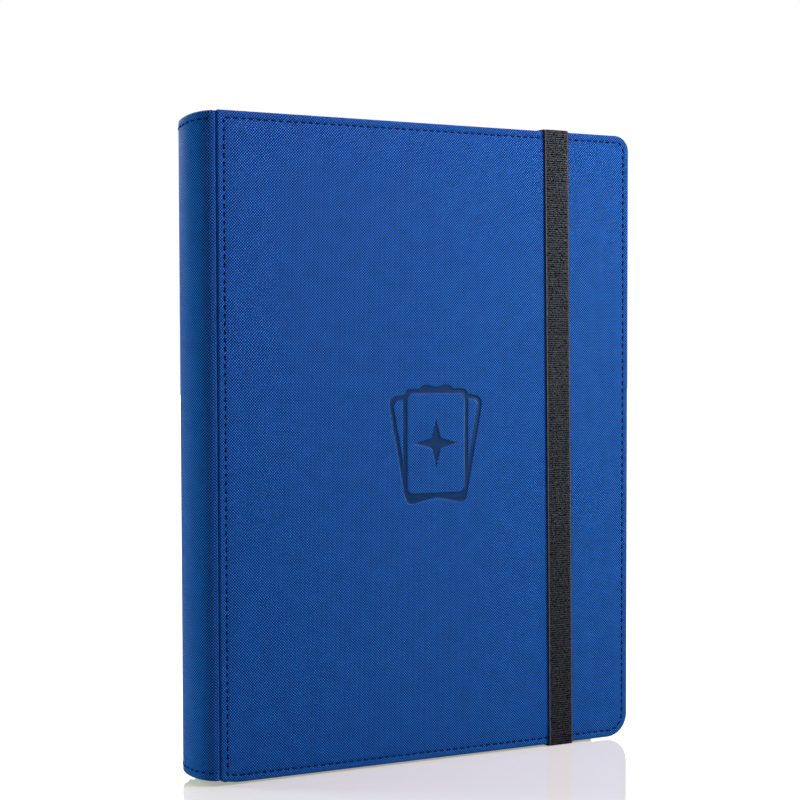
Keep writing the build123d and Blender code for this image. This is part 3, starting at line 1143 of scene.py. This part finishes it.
@dataclass
class HingeCloth:
    """The cloth of one hinge: fabric at the bottom of the outer groove, and lining across the gutter."""

    side: Side
    finishes: Finishes
    spine_x: float = -122.3
    cover_x: float = -120.5
    flank_y: float = 17.5
    fold_start: float = -121.65
    fold_end: float = -120.75
    fold_depth: float = 1.05
    gutter_y: float = 14.25
    cloth: float = 0.45
    base: float = 3.0
    top: float = 338.2

    def strip(self, x: np.ndarray, y: np.ndarray) -> Skin:
        """Carry a thin closed section, offset half the cloth's thickness either way, up the hinge.

        Args:
            x: the section's middle line, across the hinge.
            y: the section's middle line, measured outwards from the binder's middle plane.

        Returns:
            The closed mesh.
        """
        run = np.stack([np.gradient(x), np.gradient(y)], axis=-1)
        run /= np.linalg.norm(run, axis=1, keepdims=True)
        half = np.stack([-run[:, 1], run[:, 0]], axis=-1) * self.cloth / 2
        middle = np.stack([x, y], axis=-1)
        plan = np.concatenate([middle + half, (middle - half)[::-1]])
        z = graded((self.base, 8.0), (self.top, 0.0))
        shape = (len(z), len(plan))
        points = np.stack(
            [
                np.broadcast_to(plan[:, 0], shape),
                np.broadcast_to(self.side.value * plan[:, 1], shape),
                np.broadcast_to(z[:, None], shape),
            ],
            axis=-1,
        )
        skin = Skin()
        skin.add_tube(points)
        return skin

    def build(self) -> None:
        """Make both strips, from the spine to the cover."""
        side = self.side.name.lower()
        start, end = Vector((self.spine_x, 0, 0)) * MM, Vector((self.cover_x, 0, 0)) * MM
        if self.side is Side.BACK:
            start, end = end, start
        fold = ((self.fold_start, 0.06), (self.fold_end, 0.15))
        x = graded((self.spine_x - 0.7, 0.2), *fold, (self.cover_x + 0.4, 0.0))
        tucked = 0.4 * (1 - smooth(x[0], self.spine_x + 0.1, x))
        folded = self.fold_depth * smooth(self.fold_start, self.fold_end, x)
        groove = self.strip(x, self.flank_y - tucked - folded)
        piece = groove.finish(f"{side}_hinge_fabric", self.finishes.cover)
        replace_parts(piece, f"{self.side.name.lower()}_hinge_strip")
        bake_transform(piece)
        share = np.linspace(0, 1, 25)
        x = self.spine_x - 0.9 + share * (self.cover_x - self.spine_x + 3.2)
        sag = 0.25 * np.sin(math.pi * share)
        gutter = self.strip(x, self.gutter_y + 0.2 * (1 - share) - sag)
        piece = gutter.finish(f"{side}_gutter_cloth", self.finishes.lining)
        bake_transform(piece)
        log.info("%s hinge: groove and gutter cloth", side)


@dataclass
class Page:
    """One page: a black middle sheet, ridged in its bound margin, with nine clear pockets on each side."""

    number: int
    finishes: Finishes
    bend: float = 12.5
    corner_radius: float = 3.0
    weld: float = 3.0
    columns: int = 3
    rows: int = 3
    column_pitch: float = 73.0
    column_width: float = 72.0
    row_pitch: float = 99.0
    film_low: float = 0.05
    film_high: float = 0.27

    def __post_init__(self) -> None:
        """Read the page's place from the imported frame."""
        self.name = f"page_{self.number:02d}"
        low, high = (np.array(corner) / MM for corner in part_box(f"{self.name}_sheet"))
        self.low, self.high = low, high
        self.middle_y = (low[1] + high[1]) / 2
        self.half = (high[1] - low[1]) / 2
        pockets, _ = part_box(f"{self.name}_pockets")
        self.pocket_x = pockets[0] / MM

    def make_sheet(self) -> None:
        """Make the sheet: level lines that draw in round the free corners, and weld ridges in the margin."""
        free = self.high[0] - self.corner_radius
        turn = np.sin(np.linspace(0, math.pi / 2, 7))[1:] * self.corner_radius
        margin = graded((self.low[0] - 0.7, 0.5), (self.low[0] + self.bend, 20.0), (free, 0.0))
        x = np.concatenate([margin, free + turn])
        past = np.maximum(x - free, 0.0)
        fall = self.corner_radius - np.sqrt(np.maximum(self.corner_radius**2 - past**2, 0.0))
        inside = x < self.low[0] + self.bend
        ridge = 0.05 * inside * np.sin(math.pi * (x - self.low[0]) / 1.5) ** 2
        half = self.half + ridge
        base, top = self.low[2] + fall, self.high[2] - fall
        y = self.middle_y + np.stack([-half, -half, half, half], axis=-1)
        z = np.stack([base, top, top, base], axis=-1)
        points = np.stack([np.broadcast_to(x[:, None], y.shape), y, z], axis=-1)
        skin = Skin()
        skin.add_tube(points)
        piece = skin.finish(f"{self.name}_middle_sheet", self.finishes.sheet)
        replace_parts(piece, f"{self.name}_sheet")
        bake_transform(piece)

    def film(self, across: np.ndarray, up: np.ndarray) -> np.ndarray:
        """Give the film's height: down at the welds round a pocket, and up over it, with a lifted mouth."""
        in_row = up % self.row_pitch
        level = np.minimum(in_row, self.row_pitch - in_row) - self.weld / 2
        side = self.column_width - self.weld - across
        share = smooth(0.0, 4.0, np.minimum(level, side))
        return self.film_low + (self.film_high - self.film_low) * share

    def make_pockets(self) -> None:
        """Make both sides' films: each column is a thin closed leaf, welded along its rows and free edge."""
        width, pitch = self.column_width, self.row_pitch
        across = graded((0.0, 8.0), (30.0, 33.0), (62.0, 1.5), (width - self.weld, 1.5), (width, 0.0))
        row = graded((0.0, 1.5), (6.0, 44.0), (pitch - 6.0, 1.5), (pitch, 0.0))
        up = np.concatenate([[0.0], *(row[1:] + pitch * index for index in range(self.rows))])
        base = (self.low[2] + self.high[2] - self.rows * pitch) / 2
        grid_across, grid_up = np.meshgrid(across, up, indexing="ij")
        height = self.film(grid_across, np.clip(grid_up, 0.01, self.rows * pitch - 0.01))
        skin = Skin()
        for side in (-1, 1):
            for column in range(self.columns):
                x = self.pocket_x + column * self.column_pitch + grid_across
                outer = self.middle_y + side * (self.half + height)
                inner = np.full_like(outer, self.middle_y + side * (self.half + 0.01))
                front = np.stack([x, outer, base + grid_up], axis=-1)
                back = np.stack([x, inner, base + grid_up], axis=-1)
                skin.add_tube(np.concatenate([front, back[:, ::-1]], axis=1))
        piece = skin.finish(f"{self.name}_clear_pockets", self.finishes.film, crease=60.0)
        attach(piece, self.name)
        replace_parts(piece, f"{self.name}_pockets")

    def build(self) -> None:
        """Make the whole page."""
        self.make_sheet()
        self.make_pockets()
        log.info("%s: sheet and pockets", self.name)


@dataclass
class Strap:
    """The elastic strap round the front cover, and its two ends sewn to the back cover."""

    finishes: Finishes
    half_width: float = 7.9
    half_thickness: float = 0.38
    packed_half: float = 0.45
    selvedge_shine: float = 0.85
    fold_radius: float = 1.5
    rib_pitch: float = 1.6
    rib_height: float = 0.03
    lean_top: float = -3.0
    lean_base: float = 0.66
    step: float = 0.4
    end_length: float = 26.0
    released_share: float = 0.05

    def __post_init__(self) -> None:
        """Read the strap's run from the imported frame."""
        low, high = (np.array(corner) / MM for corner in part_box("elastic_strap"))
        self.middle_x = (low[0] + high[0]) / 2
        self.front_y = low[1] + self.packed_half
        self.back_y = high[1]
        self.base_z, self.top_z = low[2] + self.packed_half, high[2] - self.packed_half

    def path(self, corners: list[tuple[float, float]]) -> np.ndarray:
        """Walk a run of straight lines in y and z, with each corner turned as a quarter circle.

        Args:
            corners: the run's start, its corners and its end.

        Returns:
            n by 2 places, one step apart on the straight lines.
        """
        places = [np.array(corners[0])[None]]
        for before, here, after in zip(corners, corners[1:], corners[2:]):
            here = np.array(here)
            back = np.array(before) - here
            ahead = np.array(after) - here
            back, ahead = back / np.linalg.norm(back), ahead / np.linalg.norm(ahead)
            angle = np.linspace(0, math.pi / 2, 8)[:, None]
            centre = here + (back + ahead) * self.fold_radius
            arc = centre - ahead * self.fold_radius * np.cos(angle) - back * self.fold_radius * np.sin(angle)
            places.append(self.straight(places[-1][-1], arc[0]))
            places.append(arc)
        places.append(self.straight(places[-1][-1], np.array(corners[-1])))
        return np.concatenate(places)

    def straight(self, start: np.ndarray, end: np.ndarray) -> np.ndarray:
        """Divide a straight line into even steps, without its two ends."""
        count = max(2, round(np.linalg.norm(end - start) / self.step))
        return start + np.linspace(0, 1, count + 1)[1:, None] * (end - start)

    def tape(self, path: np.ndarray, thickness: float = 1.0) -> Skin:
        """Carry the tape's section along a path.

        Across the tape, the half thickness is full in the middle, dips beside each selvedge, swells to a
        bead at it and closes as a circle. Ribs add |sin| of the distance along, and fade at the selvedges.

        Args:
            path: n by 2 places in y and z.
            thickness: scales the section's thickness.

        Returns:
            The closed mesh, with its selvedges marked for a painted highlight.
        """
        run = np.gradient(path, axis=0)
        run /= np.linalg.norm(run, axis=1, keepdims=True)
        outward = np.stack([run[:, 1], -run[:, 0]], axis=-1)
        travel = np.concatenate([[0.0], np.cumsum(np.linalg.norm(np.diff(path, axis=0), axis=1))])
        share = np.sin(np.linspace(-math.pi / 2, math.pi / 2, 25))
        from_edge = self.half_width * (1 - np.abs(share))
        bead = np.sqrt(np.clip(1 - (np.clip(0.5 - from_edge, 0, 0.5) / 0.5) ** 2, 0, 1))
        groove = np.exp(-(((from_edge - 1.25) / 0.35) ** 2))
        half = self.half_thickness * bead * (1 - 0.35 * groove)
        ribs = np.abs(np.sin(math.pi * travel / self.rib_pitch + 0.7 * np.sin(travel / 3.1)))
        fade = smooth(1.2, 2.2, from_edge)
        rise = (half + self.rib_height * (ribs[:, None] - 0.5) * fade) * thickness
        # Each selvedge bead gets a painted highlight: a lighter grey line along the tape's edge.
        selvedge = np.exp(-(((from_edge - 0.62) / 0.28) ** 2))
        lean = self.lean_base + (self.lean_top - self.lean_base) * path[:, 1] / self.top_z
        x = self.middle_x + lean[:, None] + self.half_width * share
        outer, inner = (
            np.stack([x, path[:, :1] + outward[:, :1] * out, path[:, 1:] + outward[:, 1:] * out], axis=-1)
            for out in (rise, -rise)
        )
        points = np.concatenate([outer, inner[:, -2:0:-1]], axis=1)
        across = np.concatenate([share, 2 - share[-2:0:-1]]) * self.half_width
        places = np.stack(np.broadcast_arrays(across, travel[:, None]), axis=-1)
        shine = np.concatenate([selvedge, selvedge[-2:0:-1]]) * self.selvedge_shine
        skin = Skin()
        skin.add_grid(points, places, wrap=True, pressed=np.broadcast_to(shine, points.shape[:2]))
        skin.add_end(points[0])
        skin.add_end(points[-1])
        return skin

    def make_strap(self) -> None:
        """Make the strap.

        Only the two ends of its swing stand for the real one. In between, its joint carries it through the
        back cover and the pages, where a real strap stretches round the free edge.
        """
        corners = [
            (self.back_y - 0.6, self.base_z),
            (self.front_y, self.base_z),
            (self.front_y, self.top_z),
            (self.back_y - 0.6, self.top_z),
        ]
        piece = self.tape(self.path(corners)).finish("elastic_strap_tape", self.finishes.elastic, 70.0)
        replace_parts(piece, "elastic_strap")
        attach(piece, "strap")
        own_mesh(piece)
        log.info("strap: %d faces", len(piece.data.polygons))

    def make_end(self, at_top: bool) -> None:
        """Make one sewn end, folded from the cover's edge on to its back, with a crossed box of stitches.

        Args:
            at_top: True for the upper end.
        """
        edge = self.top_z if at_top else self.base_z
        reach = self.end_length - 0.6
        inwards = -1 if at_top else 1
        tip = edge + inwards * reach
        back_y = self.back_y + self.packed_half
        corners = [(self.back_y - 1.2, edge), (back_y, edge), (back_y, tip)]
        name = "strap_end_top" if at_top else "strap_end_bottom"
        piece = self.tape(self.path(corners), 0.97).finish(f"{name}_tape", self.finishes.elastic, 70.0)
        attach(piece, "back_cover")
        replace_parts(piece, name)
        lean = self.lean_top if at_top else self.lean_base
        x = self.middle_x + lean
        near, far = edge + inwards * 6.0, edge + inwards * (reach - 3.0)
        y = back_y + self.half_thickness
        box = [(x - 5, near), (x + 5, near), (x + 5, far), (x - 5, far), (x - 5, near)]
        skin = Skin()
        sewing = Seam(pitch=2.4, length=2.0, thickness=0.5, rise=0.12)
        crosses = [(box[0], box[2]), (box[1], box[3])]
        for start, end in [*zip(box, box[1:]), *crosses]:
            line = np.linspace(start, end, 9)
            path = np.stack([line[:, 0], np.full(9, y), line[:, 1]], axis=-1)
            sewing.sew(skin, path, np.tile([0.0, 1.0, 0.0], (9, 1)))
        stitches = skin.finish(f"{name}_stitches", self.finishes.thread, crease=180.0)
        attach(stitches, "back_cover")
        log.info("%s: tape and stitches", name)

    def build(self) -> None:
        """Make the strap and both its ends."""
        self.make_strap()
        self.make_end(True)
        self.make_end(False)


@dataclass
class Studio:
    """A plain white floor and backdrop, soft lights and the camera."""

    azimuth: float = -29.362
    elevation: float = 2.629
    roll: float = -0.132
    lens: float = 85.16
    shift_up: float = 0.0535
    eye: tuple[float, float, float] = (-504.5, -884.9, 216.5)
    ambient: float = 0.15
    floor_glow: float = 0.35
    mirror_glow: float = 2.0
    floor_reach: float = 9000.0
    floor_drop: float = 0.02
    floor_cells: int = 12

    def make_backdrop(self) -> None:
        """Make the world: white where it is seen or mirrored, and a dim even grey as light."""
        scene = bpy.context.scene
        world = bpy.data.worlds.new("studio")
        world.use_nodes = True
        tree = world.node_tree
        tree.nodes.clear()
        path = add_node(tree, "LightPath").outputs
        # The floor mirrors the backdrop brighter than it is, which burns the floor out to white.
        power = add_node(
            tree, "MapRange", {"Value": path["Is Singular Ray"], "To Min": 1.0, "To Max": self.mirror_glow}
        ).outputs[0]
        colour = (1.0, 1.0, 1.0, 1.0)
        white = add_node(tree, "Background", {"Color": colour, "Strength": power}).outputs[0]
        grey = add_node(tree, "Background", {"Color": colour, "Strength": self.ambient}).outputs[0]
        rays = {0: path["Is Camera Ray"], 1: path["Is Singular Ray"]}
        seen = add_node(tree, "Math", rays, operation="ADD", use_clamp=True).outputs[0]
        mixed = add_node(tree, "MixShader", {0: seen, 1: grey, 2: white}).outputs[0]
        add_node(tree, "OutputWorld", {"Surface": mixed})
        scene.world = world
        scene.view_settings.view_transform = "Standard"

    def make_floor(self) -> None:
        """Make the floor: a wide pale sheet that meets the backdrop without a line."""
        material = bpy.data.materials.new("pale_studio_floor")
        material.use_nodes = True
        tree = material.node_tree
        tree.nodes.clear()
        pale = {
            "Base Color": (0.45, 0.49, 0.39, 1.0),
            "Roughness": 0.0,
            "IOR": 1.65,
            "Emission Color": (0.97, 1.0, 0.9, 1.0),
            "Emission Strength": self.floor_glow,
        }
        shown = add_node(tree, "BsdfPrincipled", pale).outputs[0]
        grey = add_node(tree, "BsdfDiffuse", {"Color": (0.35, 0.35, 0.35, 1.0)}).outputs[0]
        seen = add_node(tree, "LightPath").outputs["Is Camera Ray"]
        mixed = add_node(tree, "MixShader", {0: seen, 1: grey, 2: shown}).outputs[0]
        add_node(tree, "OutputMaterial", {"Surface": mixed})
        cells = np.arange(self.floor_cells)
        row = self.floor_cells + 1
        lines = np.linspace(-self.floor_reach, self.floor_reach, row)
        x, y = np.meshgrid(lines, lines)
        mesh = bpy.data.meshes.new("floor")
        points = np.stack([x, y, np.full_like(x, -self.floor_drop)], axis=-1).reshape(-1, 3) * MM
        here = (cells[:, None] * row + cells[None, :]).reshape(-1)
        faces = np.stack([here, here + 1, here + row + 1, here + row], axis=-1)
        mesh.from_pydata(points, [], faces.tolist())
        mesh.materials.append(material)
        floor = bpy.data.objects.new("floor", mesh)
        bpy.context.scene.collection.objects.link(floor)

    def add_light(
        self,
        name: str,
        place: tuple[float, float, float],
        target: tuple[float, float, float],
        size: tuple[float, float],
        power: float,
        colour: str,
        glossy: bool = True,
    ) -> None:
        """Add one soft box.

        Args:
            name: its name.
            place: its middle, in millimetres.
            target: what it faces.
            size: its width and height in millimetres.
            power: its power in watts.
            colour: its colour as sRGB hex.
            glossy: False keeps it out of gloss and mirror images.
        """
        data = bpy.data.lights.new(name, "AREA")
        data.shape = "RECTANGLE"
        data.size, data.size_y = size[0] * MM, size[1] * MM
        data.energy = power
        data.color = linear(colour)[:3]
        light = bpy.data.objects.new(name, data)
        light.location = Vector(place) * MM
        light.visible_glossy = glossy
        facing = Vector(target) - Vector(place)
        light.rotation_euler = facing.to_track_quat("-Z", "Y").to_euler()
        bpy.context.scene.collection.objects.link(light)

    def make_lights(self) -> None:
        """Light the binder from above and in front, from the free edge's side and from beside the spine."""
        middle = (0.0, 0.0, 170.0)
        self.add_light("overhead", (260.0, -400.0, 980.0), middle, (300.0, 200.0), 8.8, "#ffbaff")
        self.add_light("right", (560.0, -400.0, 400.0), middle, (260.0, 600.0), 5.6, "#dcf8ff")
        self.add_light("fill", (-700.0, -900.0, 500.0), middle, (800.0, 600.0), 2.2, "#ecfaff")
        self.add_light(
            "left", (-1300.0, 1000.0, 350.0), middle, (500.0, 1100.0), 44.0, "#e6f8ff", glossy=False
        )
        self.add_light("behind", (200.0, 1300.0, 900.0), middle, (1400.0, 900.0), 14.0, "#ffffff")

    def make_camera(self) -> None:
        """Stand the camera at its place, turned by azimuth, elevation and roll."""
        azimuth, elevation = math.radians(self.azimuth), math.radians(self.elevation)
        back = Vector(
            (
                math.sin(azimuth) * math.cos(elevation),
                -math.cos(azimuth) * math.cos(elevation),
                math.sin(elevation),
            )
        )
        right = Vector((math.cos(azimuth), math.sin(azimuth), 0.0))
        up = back.cross(right)
        turn = math.radians(self.roll)
        level = right * math.cos(turn) + up * math.sin(turn)
        upright = up * math.cos(turn) - right * math.sin(turn)
        data = bpy.data.cameras.new("camera")
        data.lens = self.lens
        data.sensor_width = 36.0
        data.shift_y = self.shift_up
        data.clip_start, data.clip_end = 0.05, 50.0
        camera = bpy.data.objects.new("camera", data)
        axes = Matrix((level, upright, back)).transposed().to_4x4()
        camera.matrix_world = Matrix.Translation(Vector(self.eye) * MM) @ axes
        bpy.context.scene.collection.objects.link(camera)
        bpy.context.scene.camera = camera

    def build(self) -> None:
        """Make the whole studio."""
        self.make_backdrop()
        self.make_floor()
        self.make_lights()
        self.make_camera()
        log.info("studio ready")


def main() -> None:
    """Build the binder and its studio."""
    logging.basicConfig(level=logging.INFO, format="%(name)s: %(message)s")
    finishes = Finishes()
    Cover(Side.FRONT, finishes, CardMark(5.25, 170.0)).build()
    Cover(Side.BACK, finishes).build()
    Spine(finishes).build()
    for side in Side:
        HingeCloth(side, finishes).build()
    for number in range(1, PAGE_COUNT + 1):
        Page(number, finishes).build()
    Strap(finishes).build()
    Studio().build()


if __name__ == "__main__":
    main()
